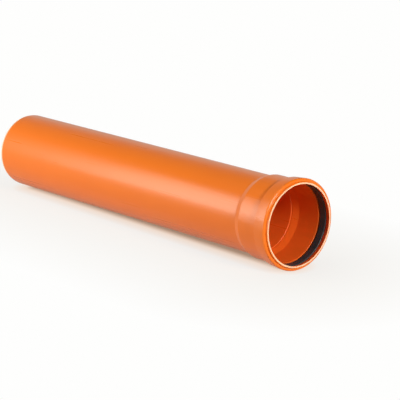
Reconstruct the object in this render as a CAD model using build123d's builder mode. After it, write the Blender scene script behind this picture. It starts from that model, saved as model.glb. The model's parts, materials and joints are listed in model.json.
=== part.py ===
"""PVC-U gravity sewer pipe, nominal size 200, one metre of laying length, with its rubber seal."""
import os
from math import asin, atan2, cos, hypot, radians, sin, tan

from build123d import *

os.makedirs("parts", exist_ok=True)

# Barrel: millimetres, measured on the tube as it is extruded
outside_diameter = 200.0
wall = 5.9
total_length = 1108.0

# Plain end: bevelled so that it slides into the next socket
bevel_angle = 15.0
bevel_length = 6.5

# Socket: the same wall, opened out to take the plain end of the next pipe
socket_clearance = 0.4
socket_straight = 59.0
flare_run = 18.0
flare_round = 6.0
shoulder_lead = 0.5
shoulder_lag = 1.0
shoulder_round = 4.0

# Stop: the small step behind the shoulder, left by the end of the forming plug
stop_flat = 3.0
stop_run = 1.0
stop_rise = 1.2
stop_round = 0.4

# Lip: the short collar in front of the bead, turned in a little at the rim
lip_length = 5.0
lip_clearance = 1.0
lip_wall = 5.6
lip_root_rise = 0.6
lip_inside_rise = 3.0
lip_edge_round = 0.8
lip_outer_round = 1.4
lip_root_round = 0.3

# Bead: the ring the wall makes around the seal groove
bead_crown_run = 36.0
bead_back_run = 4.5
bead_back_rise = 5.7
bead_slope = 5.4
bead_edge_round = 4.0
bead_foot_round = 2.0
bead_back_round = 3.0

# Groove that holds the seal, inside the bead
groove_wall = 5.5
groove_front_wall = 8.0
groove_back_wall = 5.0
groove_back_lean = 1.5
groove_round = 1.5
groove_edge_round = 0.6

# Seal: a rubber ring with a heel in the groove and a lip that leans back and in
seal_fit = 0.4
seal_clearance = 0.7
seal_front_step = 1.2
seal_head = 8.2
seal_lip_gap = 4.5
seal_lip_thickness = 2.0
seal_heel_gap = 2.0
seal_heel_thickness = 2.3
seal_root_gap = 1.0
seal_edge_round = 1.6
seal_nose_round = 1.2
seal_tip_round = 0.6

# Places along the pipe, measured back from the mouth
bead_front = lip_length
bead_back = bead_front + bead_crown_run
bead_foot = bead_back + bead_back_run
flare_end = bead_foot + socket_straight
flare_start = flare_end + flare_run
shoulder_start = flare_end - shoulder_lead
shoulder_end = flare_start + shoulder_lag
stop_start = shoulder_end + stop_flat
stop_end = stop_start + stop_run
groove_front = bead_front + groove_front_wall
groove_back_edge = bead_back - groove_back_wall
groove_back_bottom = groove_back_edge + groove_back_lean
seal_front = groove_front + seal_fit
seal_root = seal_front + seal_head
seal_lip_end = groove_back_edge - seal_lip_gap
seal_heel_end = groove_back_edge - seal_heel_gap

# Radii that follow from the values above
pipe_radius = outside_diameter / 2
bore_radius = pipe_radius - wall
stop_radius = bore_radius + stop_rise
bevel_radius = pipe_radius - bevel_length * tan(radians(bevel_angle))
socket_radius = pipe_radius + socket_clearance
socket_outside = socket_radius + wall
lip_radius = pipe_radius + lip_clearance
lip_outside = lip_radius + lip_wall
lip_root = lip_outside + lip_root_rise
lip_inside = lip_radius + lip_inside_rise
bead_back_radius = socket_outside + bead_back_rise
rise = tan(radians(bead_slope))


def bead_radius(back):
    """Outside radius of the bead's crown at a distance back from the mouth."""
    return bead_back_radius + (bead_back - back) * rise


def groove_radius(back):
    """Radius of the groove's bottom, which runs along under the crown."""
    return bead_radius(back) - groove_wall


# The pipe lies on the bead's front edge and on the start of the bevel, so its axis is tilted a little
edge_back = bead_front + bead_edge_round
edge_radius = bead_radius(edge_back) - bead_edge_round / cos(radians(bead_slope))
run = total_length - edge_back - bevel_length
climb = edge_radius - pipe_radius
tilt = atan2(climb, run) + asin(bead_edge_round / hypot(run, climb))

# Working plane: X runs along the axis from the plain end to the mouth, Y is the radius
half_span = (total_length * cos(tilt) + (lip_outside - lip_outer_round - bevel_radius) * sin(tilt)) / 2
lift = pipe_radius * cos(tilt) - bevel_length * sin(tilt)
lie = Plane(
    origin=(-half_span, 0, lift),
    x_dir=(cos(tilt), 0, sin(tilt)),
    z_dir=(0, -1, 0),
)
pipe_axis = Axis(lie.origin, lie.x_dir)


def at(back, radius):
    """A point of the section, from its distance back from the mouth and its radius."""
    return (total_length - back, radius)


# Section of the pipe wall: corner and the round on it
wall_section = [
    ((0, bore_radius), 0),
    ((0, bevel_radius), 0),
    ((bevel_length, pipe_radius), 0),
    (at(flare_start, pipe_radius), flare_round),
    (at(flare_end, socket_outside), flare_round),
    (at(bead_foot, socket_outside), bead_foot_round),
    (at(bead_back, bead_back_radius), bead_back_round),
    (at(bead_front, bead_radius(bead_front)), bead_edge_round),
    (at(bead_front, lip_root), lip_root_round),
    (at(0, lip_outside), lip_outer_round),
    (at(0, lip_radius), lip_edge_round),
    (at(groove_front, lip_inside), groove_edge_round),
    (at(groove_front, groove_radius(groove_front)), groove_round),
    (at(groove_back_bottom, groove_radius(groove_back_bottom)), groove_round),
    (at(groove_back_edge, socket_radius), groove_edge_round),
    (at(shoulder_start, socket_radius), shoulder_round),
    (at(shoulder_end, stop_radius), shoulder_round),
    (at(stop_start, stop_radius), stop_round),
    (at(stop_end, bore_radius), stop_round),
]

with BuildPart() as pipe:
    with BuildSketch(lie) as wall_face:
        with BuildLine():
            Polyline([corner for corner, size in wall_section], close=True)
        make_face()
        for corner, size in wall_section:
            if size:
                fillet(wall_face.vertices().sort_by_distance(corner)[0], size)
    revolve(axis=pipe_axis)
pipe.part.label = "pipe"

# Section of the seal: a heel against the groove's bottom and a lip hanging from its front
seal_inside = pipe_radius + seal_clearance
seal_front_radius = seal_inside + seal_front_step
heel_front_radius = groove_radius(seal_front) - seal_fit
heel_end_radius = groove_radius(seal_heel_end) - seal_fit
heel_inside = heel_end_radius - seal_heel_thickness
lip_outer_end = seal_inside + seal_lip_thickness
lip_outer_root = heel_inside - seal_root_gap
seal_section = [
    (at(seal_front, heel_front_radius), seal_edge_round),
    (at(seal_front, seal_front_radius), seal_nose_round),
    (at(seal_lip_end, seal_inside), seal_tip_round),
    (at(seal_lip_end, lip_outer_end), seal_tip_round),
    (at(seal_root, lip_outer_root), 0),
    (at(seal_root, heel_inside), 0),
    (at(seal_heel_end, heel_inside), seal_tip_round),
    (at(seal_heel_end, heel_end_radius), seal_tip_round),
]

with BuildPart() as seal_ring:
    with BuildSketch(lie) as seal_face:
        with BuildLine():
            Polyline([corner for corner, size in seal_section], close=True)
        make_face()
        for corner, size in seal_section:
            if size:
                fillet(seal_face.vertices().sort_by_distance(corner)[0], size)
    revolve(axis=pipe_axis)
seal_ring.part.label = "seal_ring"

export_step(pipe.part, "parts/pipe.step")
export_step(seal_ring.part, "parts/seal_ring.step")
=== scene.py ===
"""Orange PVC-U sewer pipe with its rubber seal: finishes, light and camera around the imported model."""
import json
from math import acos, ceil, pi, radians, sin, tan

import bpy
import numpy as np
from mathutils import Matrix, Vector


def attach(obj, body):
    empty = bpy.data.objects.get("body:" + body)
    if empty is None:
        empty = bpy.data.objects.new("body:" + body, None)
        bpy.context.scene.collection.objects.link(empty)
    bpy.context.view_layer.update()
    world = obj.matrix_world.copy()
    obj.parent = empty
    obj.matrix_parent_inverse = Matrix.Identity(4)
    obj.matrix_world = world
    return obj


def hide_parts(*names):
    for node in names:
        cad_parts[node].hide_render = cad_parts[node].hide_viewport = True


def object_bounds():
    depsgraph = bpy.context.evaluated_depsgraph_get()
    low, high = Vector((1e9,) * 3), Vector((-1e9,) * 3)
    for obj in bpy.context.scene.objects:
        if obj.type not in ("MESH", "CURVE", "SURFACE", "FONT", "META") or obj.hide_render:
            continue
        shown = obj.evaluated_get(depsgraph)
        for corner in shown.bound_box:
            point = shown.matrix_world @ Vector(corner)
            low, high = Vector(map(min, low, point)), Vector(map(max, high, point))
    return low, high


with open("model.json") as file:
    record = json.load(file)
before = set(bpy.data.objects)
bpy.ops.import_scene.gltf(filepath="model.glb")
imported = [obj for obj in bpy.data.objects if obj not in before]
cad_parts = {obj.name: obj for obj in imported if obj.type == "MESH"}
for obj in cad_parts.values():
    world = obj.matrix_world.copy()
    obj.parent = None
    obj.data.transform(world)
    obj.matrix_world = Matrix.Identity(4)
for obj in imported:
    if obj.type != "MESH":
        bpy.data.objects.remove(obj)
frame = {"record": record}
cad_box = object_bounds()

# Sizes are in millimetres, as they are gauged in the shop, and MM turns them into metres
MM = 0.001

# Barrel and plain end: where they lie comes from the record's own mounts
mounts = {mount["name"]: mount for mount in frame["record"]["mounts"]}
barrel = mounts["plain_end"]
pipe_radius = barrel["dims"]["r_mm"]
socket_radius = mounts["socket"]["dims"]["r_mm"]
total_length = 1108.0
wall = 5.9
bevel_angle = 15.0
bevel_length = 6.5
bevel_round = 0.8
sawn_edge_round = 0.4

# Socket, flare, shoulder and stop; the flare is rounded more crisply than on the solid
socket_straight = 59.0
flare_run = 18.0
flare_round = 4.0
shoulder_lead = 0.5
shoulder_lag = 1.0
shoulder_round = 4.0
stop_flat = 3.0
stop_run = 1.0
stop_rise = 1.2
stop_round = 0.4

# Lip in front of the bead
lip_length = 5.0
lip_clearance = 1.0
lip_wall = 5.6
lip_root_rise = 0.6
lip_inside_rise = 3.0
lip_edge_round = 0.8
lip_outer_round = 1.4
lip_root_round = 0.3

# Bead and the seal groove inside it; the bead's foot and back are also rounded more crisply
bead_crown_run = 36.0
bead_back_run = 4.5
bead_back_rise = 5.7
bead_slope = 5.4
bead_edge_round = 4.0
bead_foot_round = 1.0
bead_back_round = 1.2
groove_wall = 5.5
groove_front_wall = 8.0
groove_back_wall = 5.0
groove_back_lean = 1.5
groove_round = 1.5
groove_edge_round = 0.6

# Rubber seal
seal_fit = 0.4
seal_clearance = 0.7
seal_front_step = 1.2
seal_head = 8.2
seal_lip_gap = 4.5
seal_lip_thickness = 2.0
seal_heel_gap = 2.0
seal_heel_thickness = 2.3
seal_root_gap = 1.0
seal_edge_round = 1.6
seal_nose_round = 1.2
seal_tip_round = 0.6
seal_root_round = 0.4

# Unevenness of the wall, as waves: height, how many in a turn, run along the pipe for each radian, start
barrel_waves = [(0.05, 3, 260.0, 0.0), (0.03, 7, -190.0, 0.0)]
socket_waves = [(0.08, 13, 35.0, 0.0), (0.07, 29, -60.0, 1.0)]

# How finely the turned pieces are drawn
turn_steps = 240
arc_step = radians(7.5)
fewest_arc_steps = 3
band_length = 16.0
sharp_angle = radians(35)

# Rounds up to this size are finished like the face after them, and larger ones like the face before
largest_cut_round = 0.8

# Marks of the drawn skin; a die line's slimness is its width over its length
die_line_gap = 7.0
die_line_depth = 0.14
die_line_slimness = 0.015
pigment_cloud = 140.0
ripple_length = 18.0
ripple_depth = 0.3
skin_relief = 0.25
drawn_gloss, drawn_dull = 0.27, 0.35
pvc_ior = 1.53

# Marks of the trimmed edges
blade_mark_gap = 0.4
blade_mark_depth = 0.05
blade_relief = 0.3
trimmed_roughness = 0.55

# Marks of the moulded rubber
bloom_patch = 25.0
grain_size = 1.5
grain_depth = 0.08
grain_relief = 0.3
rubber_gloss, rubber_dull = 0.42, 0.55
rubber_ior = 1.52

# Nearly all of a noise pattern lies between these two values
noise_low, noise_high = 0.3, 0.7

# Places along the pipe, measured back from the mouth
bead_front = lip_length
bead_back = bead_front + bead_crown_run
bead_foot = bead_back + bead_back_run
flare_end = bead_foot + socket_straight
flare_start = flare_end + flare_run
shoulder_start = flare_end - shoulder_lead
shoulder_end = flare_start + shoulder_lag
stop_start = shoulder_end + stop_flat
stop_end = stop_start + stop_run
groove_front = bead_front + groove_front_wall
groove_back_edge = bead_back - groove_back_wall
groove_back_bottom = groove_back_edge + groove_back_lean
seal_front = groove_front + seal_fit
seal_root = seal_front + seal_head
seal_lip_end = groove_back_edge - seal_lip_gap
seal_heel_end = groove_back_edge - seal_heel_gap

# Radii that follow from the sizes above
bore_radius = pipe_radius - wall
stop_radius = bore_radius + stop_rise
bevel_radius = pipe_radius - bevel_length * tan(radians(bevel_angle))
socket_outside = socket_radius + wall
lip_radius = pipe_radius + lip_clearance
lip_outside = lip_radius + lip_wall
lip_root = lip_outside + lip_root_rise
lip_inside = lip_radius + lip_inside_rise
bead_back_radius = socket_outside + bead_back_rise

# The pipe's own frame: from the sawn plain end along the axis to the mouth
to_mouth = -Vector(barrel["axis"]).normalized()
bevel_start = Vector(barrel["pos_m"]) - to_mouth * barrel["dims"]["length_mm"] / 2 * MM
plain_end = bevel_start - to_mouth * bevel_length * MM
across = Vector((0, 1, 0))
pipe_frame = Matrix((to_mouth, across, to_mouth.cross(across))).transposed().to_4x4()
pipe_frame.translation = plain_end


def bead_radius(back):
    """Outside radius of the bead's crown at a distance back from the mouth."""
    return bead_back_radius + (bead_back - back) * tan(radians(bead_slope))


def groove_radius(back):
    """Radius of the groove's bottom, which runs along under the crown."""
    return bead_radius(back) - groove_wall


def corner_arc(before, corner, after):
    """One corner of a section as a round: points of (along, radius, finish of the band that follows)."""
    along, radius, size, finish = corner
    tip = Vector((along, radius))
    back = (Vector(before[:2]) - tip).normalized()
    ahead = (Vector(after[:2]) - tip).normalized()
    half = acos(back.dot(ahead)) / 2
    middle = tip + (back + ahead).normalized() * size / sin(half)
    spoke = tip + back * size / tan(half) - middle
    sweep = pi - 2 * half
    steps = max(fewest_arc_steps, ceil(sweep / arc_step))
    side = 1 if back.cross(ahead) < 0 else -1
    arc_finish = before[3] if size > largest_cut_round else finish
    arc = []
    for step in range(steps + 1):
        turned = Matrix.Rotation(side * sweep * step / steps, 2) @ spoke
        arc.append((*(middle + turned), finish if step == steps else arc_finish))
    return arc


def rounded_section(corners):
    """The whole section as points, with the long runs between its rounds cut into shorter bands."""
    neighbours = zip(corners[-1:] + corners[:-1], corners, corners[1:] + corners[:1])
    arcs = [corner_arc(*three) for three in neighbours]
    points = []
    for arc, following in zip(arcs, arcs[1:] + arcs[:1]):
        points += arc
        run_start, run_end = Vector(arc[-1][:2]), Vector(following[0][:2])
        bands = ceil((run_end - run_start).length / band_length)
        points += [(*run_start.lerp(run_end, band / bands), arc[-1][2]) for band in range(1, bands)]
    return points


def wave_height(waves, along, turn):
    """Height of some waves together, at a place along the pipe and round its turn."""
    return sum(height * np.sin(count * turn + along / run + start) for height, count, run, start in waves)


def unevenness(along, turn):
    """How far the wall stands off true round: slight on the barrel, more where heat opened it."""
    heated = np.clip((along - (total_length - flare_start)) / flare_run, 0, 1)
    return wave_height(barrel_waves, along, turn) + heated * wave_height(socket_waves, along, turn)


def unroll(mesh, along, radius, ring, step):
    """A flat map of a turned piece: the turn runs across it and the section runs up it."""
    gaps = np.hypot(np.diff(along, append=along[0]), np.diff(radius, append=radius[0]))
    up = np.concatenate([[0], np.cumsum(gaps)]) / gaps.sum()
    round_the_turn = np.stack([step, step + 1, step + 1, step], -1) / turn_steps
    up_the_section = np.stack([up[ring], up[ring], up[ring + 1], up[ring + 1]], -1)
    unrolled = mesh.uv_layers.new(name="OFBake")
    unrolled.uv.foreach_set("vector", np.stack([round_the_turn, up_the_section], -1).ravel())


def turned_piece(name, corners, finishes):
    """A piece with the given section, turned about the pipe's axis; each band has its own finish."""
    points = rounded_section(corners)
    rings = len(points)
    along = np.array([point[0] for point in points])
    radius = np.array([point[1] for point in points])
    turn = np.arange(turn_steps) * 2 * pi / turn_steps
    reach = radius[:, None] + unevenness(along[:, None], turn)
    own = np.stack([along[:, None] + 0 * reach, -reach * np.sin(turn), reach * np.cos(turn)], -1)
    vertices = own.reshape(-1, 3) * MM @ np.array(pipe_frame.to_3x3()).T + np.array(plain_end)
    ring, step = np.indices((rings, turn_steps)).reshape(2, -1)
    next_ring, next_step = (ring + 1) % rings, (step + 1) % turn_steps
    faces = np.stack([
        ring * turn_steps + step,
        ring * turn_steps + next_step,
        next_ring * turn_steps + next_step,
        next_ring * turn_steps + step,
    ], -1)
    mesh = bpy.data.meshes.new(name)
    mesh.from_pydata(vertices.tolist(), [], faces.tolist())
    order = list(finishes)
    for finish in order:
        mesh.materials.append(finishes[finish])
    band_finish = np.array([order.index(point[2]) for point in points])
    mesh.polygons.foreach_set("material_index", band_finish[ring])
    unroll(mesh, along, radius, ring, step)
    mesh.shade_smooth()
    mesh.set_sharp_from_angle(angle=sharp_angle)
    piece = bpy.data.objects.new(name, mesh)
    bpy.context.collection.objects.link(piece)
    return piece


def linear(hex_colour):
    """An sRGB hex colour as linear red, green, blue and alpha."""
    parts = [int(hex_colour[k:k + 2], 16) / 255 for k in (1, 3, 5)]
    return (*(part / 12.92 if part <= 0.04045 else ((part + 0.055) / 1.055) ** 2.4 for part in parts), 1)


def add(tree, kind, sockets=(), **settings):
    """Adds a node with its settings; each socket, by name or number, gets a value or a link."""
    node = tree.nodes.new("ShaderNode" + kind)
    for name, value in settings.items():
        setattr(node, name, value)
    for key, value in dict(sockets).items():
        if isinstance(value, bpy.types.NodeSocket):
            tree.links.new(value, node.inputs[key])
        else:
            node.inputs[key].default_value = value
    return node


def new_material(name):
    """An empty material and its node tree."""
    material = bpy.data.materials.new(name)
    material.use_nodes = True
    material.node_tree.nodes.clear()
    return material, material.node_tree


def along_pipe(tree):
    """Where a spot lies in the pipe's own frame: X runs along the axis from the plain end."""
    place = add(tree, "TexCoord").outputs["Object"]
    own = add(tree, "Mapping", {
        "Vector": place, "Location": plain_end, "Rotation": pipe_frame.to_euler()}, vector_type="TEXTURE")
    return own.outputs[0]


def per_metre(millimetres):
    """A pattern's scale from the real size of its marks."""
    return 1 / (millimetres * MM)


def extruded_pvc(name, pale, deep):
    """PVC-U drawn hot through a ring die."""
    # It shows as an even satin orange, with faint lines along the pipe where the die dragged
    material, tree = new_material(name)
    place = along_pipe(tree)
    # Die lines are hair fine and run for metres; they are drawn coarser and shorter so that they show
    drawn_out = add(tree, "Mapping", {"Vector": place, "Scale": (die_line_slimness, 1, 1)})
    die_lines = add(tree, "TexNoise", {
        "Vector": drawn_out.outputs[0], "Scale": per_metre(die_line_gap), "Detail": 3, "Roughness": 0.6})
    # The pigment is mixed a little unevenly, in clouds about a hand wide
    clouds = add(tree, "TexNoise", {"Vector": place, "Scale": per_metre(pigment_cloud), "Detail": 2})
    shade = add(tree, "Mix", {0: clouds.outputs[0], 6: linear(pale), 7: linear(deep)}, data_type="RGBA")
    gloss = add(tree, "MapRange", {
        "Value": die_lines.outputs[0], "From Min": noise_low, "From Max": noise_high,
        "To Min": drawn_gloss, "To Max": drawn_dull})
    # The skin has a very shallow ripple under the lines, as an extruded skin does
    ripple = add(tree, "TexNoise", {"Vector": place, "Scale": per_metre(ripple_length), "Detail": 1})
    rippled = add(tree, "Bump", {
        "Height": ripple.outputs[0], "Strength": skin_relief, "Distance": ripple_depth * MM})
    lined = add(tree, "Bump", {
        "Height": die_lines.outputs[0], "Strength": skin_relief, "Distance": die_line_depth * MM,
        "Normal": rippled.outputs[0]})
    surface = add(tree, "BsdfPrincipled", {
        "Base Color": shade.outputs[2], "Roughness": gloss.outputs[0], "Normal": lined.outputs[0],
        "IOR": pvc_ior})
    add(tree, "OutputMaterial", {"Surface": surface.outputs[0]})
    return material


def trimmed_pvc():
    """The same PVC-U where a cutter has trimmed it."""
    # It shows paler and more matt than the skin, with fine rings left by the blade; the paleness is partly
    # that of a cut face and partly a painted highlight of the light on the rim
    material, tree = new_material("Trimmed PVC-U edge")
    place = along_pipe(tree)
    from_axis = add(tree, "VectorMath", {0: place, 1: (0, 1, 1)}, operation="MULTIPLY")
    radius = add(tree, "VectorMath", {0: from_axis.outputs[0]}, operation="LENGTH")
    rings = add(tree, "TexNoise", {
        "W": radius.outputs["Value"], "Scale": per_metre(blade_mark_gap), "Detail": 2}, noise_dimensions="1D")
    shade = add(tree, "Mix", {
        0: rings.outputs[0], 6: linear("#F0CFAE"), 7: linear("#EAC29B")}, data_type="RGBA")
    scored = add(tree, "Bump", {
        "Height": rings.outputs[0], "Strength": blade_relief, "Distance": blade_mark_depth * MM})
    surface = add(tree, "BsdfPrincipled", {
        "Base Color": shade.outputs[2], "Roughness": trimmed_roughness, "Normal": scored.outputs[0],
        "IOR": pvc_ior})
    add(tree, "OutputMaterial", {"Surface": surface.outputs[0]})
    return material


def moulded_rubber():
    """Black SBR rubber moulded in a matt tool."""
    # It shows nearly black, with a soft grey sheen on its edges and a faint pale bloom
    material, tree = new_material("Moulded black SBR rubber")
    place = along_pipe(tree)
    bloom = add(tree, "TexNoise", {"Vector": place, "Scale": per_metre(bloom_patch), "Detail": 3})
    shade = add(tree, "Mix", {
        0: bloom.outputs[0], 6: linear("#22282A"), 7: linear("#303739")}, data_type="RGBA")
    # The tool's grain is under half a millimetre; it is drawn coarser so that it shows up close
    grain = add(tree, "TexNoise", {"Vector": place, "Scale": per_metre(grain_size), "Detail": 2})
    grained = add(tree, "Bump", {
        "Height": grain.outputs[0], "Strength": grain_relief, "Distance": grain_depth * MM})
    matt = add(tree, "MapRange", {
        "Value": bloom.outputs[0], "From Min": noise_low, "From Max": noise_high,
        "To Min": rubber_gloss, "To Max": rubber_dull})
    surface = add(tree, "BsdfPrincipled", {
        "Base Color": shade.outputs[2], "Roughness": matt.outputs[0], "Normal": grained.outputs[0],
        "IOR": rubber_ior})
    add(tree, "OutputMaterial", {"Surface": surface.outputs[0]})
    return material


def mouth_corner(back, radius, size, finish="drawn"):
    """A corner of a section, from its distance back from the mouth."""
    return (total_length - back, radius, size, finish)


def make_pipe():
    """The pipe: sawn and bevelled plain end, barrel, flare, socket, bead and lip in one wall."""
    section = [
        (0, bore_radius, sawn_edge_round, "trimmed"),
        (0, bevel_radius, sawn_edge_round, "trimmed"),
        (bevel_length, pipe_radius, bevel_round, "drawn"),
        mouth_corner(flare_start, pipe_radius, flare_round),
        mouth_corner(flare_end, socket_outside, flare_round),
        mouth_corner(bead_foot, socket_outside, bead_foot_round),
        mouth_corner(bead_back, bead_back_radius, bead_back_round),
        mouth_corner(bead_front, bead_radius(bead_front), bead_edge_round),
        mouth_corner(bead_front, lip_root, lip_root_round),
        mouth_corner(0, lip_outside, lip_outer_round, "trimmed"),
        mouth_corner(0, lip_radius, lip_edge_round, "bore"),
        mouth_corner(groove_front, lip_inside, groove_edge_round, "bore"),
        mouth_corner(groove_front, groove_radius(groove_front), groove_round, "bore"),
        mouth_corner(groove_back_bottom, groove_radius(groove_back_bottom), groove_round, "bore"),
        mouth_corner(groove_back_edge, socket_radius, groove_edge_round, "bore"),
        mouth_corner(shoulder_start, socket_radius, shoulder_round, "bore"),
        mouth_corner(shoulder_end, stop_radius, shoulder_round, "bore"),
        mouth_corner(stop_start, stop_radius, stop_round, "bore"),
        mouth_corner(stop_end, bore_radius, stop_round, "bore"),
    ]
    return turned_piece("orange_pipe", section, {
        "drawn": extruded_pvc("Extruded orange PVC-U", "#E8740F", "#E46E0B"),
        # The bore's deeper, redder orange is painted shade: the same PVC-U as the outside, tinted for the
        # deep red of the light inside the pipe
        "bore": extruded_pvc("Extruded PVC-U bore, painted shade", "#F06920", "#EA631C"),
        "trimmed": trimmed_pvc()})


def make_seal():
    """The seal: a heel in the groove and a lip that leans back and in."""
    seal_inside = pipe_radius + seal_clearance
    heel_end_radius = groove_radius(seal_heel_end) - seal_fit
    heel_inside = heel_end_radius - seal_heel_thickness
    section = [
        mouth_corner(seal_heel_end, heel_inside, seal_tip_round, "moulded"),
        mouth_corner(seal_heel_end, heel_end_radius, seal_tip_round, "moulded"),
        mouth_corner(seal_front, groove_radius(seal_front) - seal_fit, seal_edge_round, "moulded"),
        mouth_corner(seal_front, seal_inside + seal_front_step, seal_nose_round, "moulded"),
        mouth_corner(seal_lip_end, seal_inside, seal_tip_round, "moulded"),
        mouth_corner(seal_lip_end, seal_inside + seal_lip_thickness, seal_tip_round, "moulded"),
        mouth_corner(seal_root, heel_inside - seal_root_gap, seal_root_round, "moulded"),
        mouth_corner(seal_root, heel_inside, seal_root_round, "moulded"),
    ]
    return turned_piece("rubber_seal", section, {"moulded": moulded_rubber()})


pipe = make_pipe()
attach(pipe, "root")
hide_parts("pipe")

seal = make_seal()
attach(seal, "root")
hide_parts("seal_ring")

# Floor, in metres: a wide sheet just under the pipe, so that the uneven wall doesn't cut into it
floor_half = 8.0
floor_drop = 0.3 * MM

# Painted shade on the floor, in metres from the line that the pipe lies on; that line is turned a little
shade_half_length = 0.5
shade_turn = radians(0.6)
shade_edge, haze_edge, tint_edge, white_edge = 0.010, 0.039, 0.08, 0.5

# Share of plain white where the shade ends, where the haze ends, and as the pipe's own sheen mirrors it
shade_lift, haze_lift = 0.26, 0.81
sheen_share = 0.55


def paper_white():
    """Matt white background paper."""
    # It shows the pipe's real shade, darkened further near the pipe by painted shade and warmed by a painted
    # orange glow for the light the pipe throws, and is lost in plain white further off
    material, tree = new_material("Matt white paper")
    place = add(tree, "NewGeometry").outputs["Position"]
    along_shade = add(tree, "Mapping", {
        "Vector": place, "Rotation": (0, 0, shade_turn)}, vector_type="TEXTURE")
    either_side = add(tree, "VectorMath", {0: along_shade.outputs[0]}, operation="ABSOLUTE")
    past_ends = add(tree, "VectorMath", {
        0: either_side.outputs[0], 1: (shade_half_length, 0, 0)}, operation="SUBTRACT")
    beside = add(tree, "VectorMath", {0: past_ends.outputs[0], 1: (0, 0, 0)}, operation="MAXIMUM")
    away = add(tree, "VectorMath", {0: beside.outputs[0]}, operation="LENGTH").outputs["Value"]
    # Painted shade: less white near the pipe gives a darker band along it, whatever the light
    haze = add(tree, "MapRange", {
        "Value": away, "From Min": shade_edge, "From Max": haze_edge,
        "To Min": shade_lift, "To Max": haze_lift})
    burnt_out = add(tree, "MapRange", {
        "Value": away, "From Min": haze_edge, "From Max": white_edge,
        "To Min": haze.outputs[0], "To Max": 1})
    # Painted reflected light: a warm orange tint near the pipe, for the light it throws on the paper
    cooling = add(tree, "MapRange", {
        "Value": away, "From Min": shade_edge, "From Max": tint_edge,
        "To Min": 0, "To Max": 1})
    painted_orange_glow = add(tree, "Mix", {
        0: cooling.outputs[0], 6: linear("#FFE0C6"), 7: linear("#FEFEFD")}, data_type="RGBA")
    path = add(tree, "LightPath")
    in_sheen = add(tree, "Math", {0: path.outputs["Is Glossy Ray"], 1: sheen_share}, operation="MULTIPLY")
    looked_at = add(tree, "Math", {0: path.outputs["Is Camera Ray"], 1: in_sheen.outputs[0]}, operation="ADD")
    seen = add(tree, "Math", {
        0: looked_at.outputs[0], 1: path.outputs["Is Transmission Ray"]}, operation="ADD", use_clamp=True)
    share = add(tree, "Math", {0: burnt_out.outputs[0], 1: seen.outputs[0]}, operation="MULTIPLY")
    paper = add(tree, "BsdfDiffuse", {"Color": linear("#C8B28E")})
    white = add(tree, "Emission", {"Color": painted_orange_glow.outputs[2], "Strength": 1.0})
    surface = add(tree, "MixShader", {0: share.outputs[0], 1: paper.outputs[0], 2: white.outputs[0]})
    add(tree, "OutputMaterial", {"Surface": surface.outputs[0]})
    return material


sheet_level = cad_box[0][2] - floor_drop
sheet_sides = ((-1, -1), (1, -1), (1, 1), (-1, 1))
sheet_corners = [(x * floor_half, y * floor_half, sheet_level) for x, y in sheet_sides]
sheet = bpy.data.meshes.new("paper_floor")
sheet.from_pydata(sheet_corners, [], [(0, 1, 2, 3)])
sheet.materials.append(paper_white())
floor = bpy.data.objects.new("paper_floor", sheet)
bpy.context.collection.objects.link(floor)


def softbox(name, place, aim, width, height, watts, colour=(1, 1, 1)):
    """A soft rectangular lamp at a place, turned to face a point."""
    lamp = bpy.data.lights.new(name, "AREA")
    lamp.shape = "RECTANGLE"
    lamp.size, lamp.size_y, lamp.energy = width, height, watts
    lamp.color = colour
    holder = bpy.data.objects.new(name, lamp)
    holder.location = place
    holder.rotation_euler = (Vector(aim) - Vector(place)).to_track_quat("-Z", "Y").to_euler()
    bpy.context.collection.objects.link(holder)


# Lamps: the side one draws the long highlight, the key shines into the mouth, and the other two fill
barrel_middle = (0.0, 0.0, 0.1)
softbox("side_softbox", (-1.12, -1.51, 0.80), barrel_middle, 1.1, 1.35, watts=20, colour=(1, 0.98, 0.87))
softbox("key_softbox", (4.25, -0.3, 1.75), (0.4, 0.0, 0.1), 0.8, 0.5, watts=178)
softbox("low_softbox", (-0.5, -2.4, 0.55), barrel_middle, 1.5, 1.0, watts=22)
softbox("top_softbox", (-0.6, -0.6, 3.2), (-0.2, 0.0, 0.1), 2.0, 2.0, watts=17)

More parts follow.
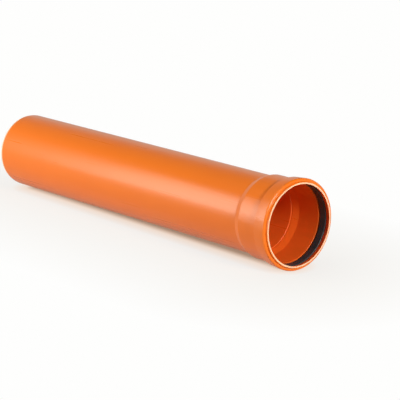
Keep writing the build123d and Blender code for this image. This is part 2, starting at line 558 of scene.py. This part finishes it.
# Studio walls: their glow, and the share of it left behind the camera and in front of the mouth
wall_colour = (1, 0.985, 0.9, 1)
wall_glow, overhead_glow = 0.8, 0.1
overhead_start, overhead_full = 0.3, 0.6
camera_side = (0.77, -0.64, 0)
camera_side_share = 0.15
camera_side_start, camera_side_full = 0.1, 0.6
mouth_side_share = 0.1
mouth_side_start, mouth_side_full = 0.0, 0.5


def studio_walls():
    """The pale walls that show in the pipe's sheen, dark overhead, behind the camera and off the mouth."""
    world = bpy.data.worlds.new("studio")
    world.use_nodes = True
    tree = world.node_tree
    tree.nodes.clear()
    heading = add(tree, "TexCoord").outputs["Generated"]
    parts = add(tree, "SeparateXYZ", {0: heading})
    glow = add(tree, "MapRange", {
        "Value": parts.outputs["Z"], "From Min": overhead_start, "From Max": overhead_full,
        "To Min": wall_glow, "To Max": overhead_glow})
    towards_camera = add(tree, "VectorMath", {0: heading, 1: camera_side}, operation="DOT_PRODUCT")
    dark_side = add(tree, "MapRange", {
        "Value": towards_camera.outputs["Value"], "From Min": camera_side_start, "From Max": camera_side_full,
        "To Min": 1, "To Max": camera_side_share})
    dark_front = add(tree, "MapRange", {
        "Value": parts.outputs["X"], "From Min": mouth_side_start, "From Max": mouth_side_full,
        "To Min": 1, "To Max": mouth_side_share})
    shaded = add(tree, "Math", {0: dark_side.outputs[0], 1: dark_front.outputs[0]}, operation="MULTIPLY")
    strength = add(tree, "Math", {0: glow.outputs[0], 1: shaded.outputs[0]}, operation="MULTIPLY")
    walls = add(tree, "Background", {"Color": wall_colour, "Strength": strength.outputs[0]})
    add(tree, "OutputWorld", {"Surface": walls.outputs[0]})
    return world


bpy.context.scene.world = studio_walls()
bpy.context.scene.view_settings.view_transform = "Standard"

# Camera, in metres: a long lens from the mouth's side, a little above the pipe
camera_place = Vector((3.5958, -2.9633, 1.3372))
camera_aim = Vector((0.1879, 0.0, 0.1030))
sensor_width = 36.0
focal_length = 164.49

lens = bpy.data.cameras.new("camera")
lens.sensor_width = sensor_width
lens.lens = focal_length
camera = bpy.data.objects.new("camera", lens)
camera.location = camera_place
camera.rotation_euler = (camera_aim - camera_place).to_track_quat("-Z", "Y").to_euler()
bpy.context.collection.objects.link(camera)
bpy.context.scene.camera = camera
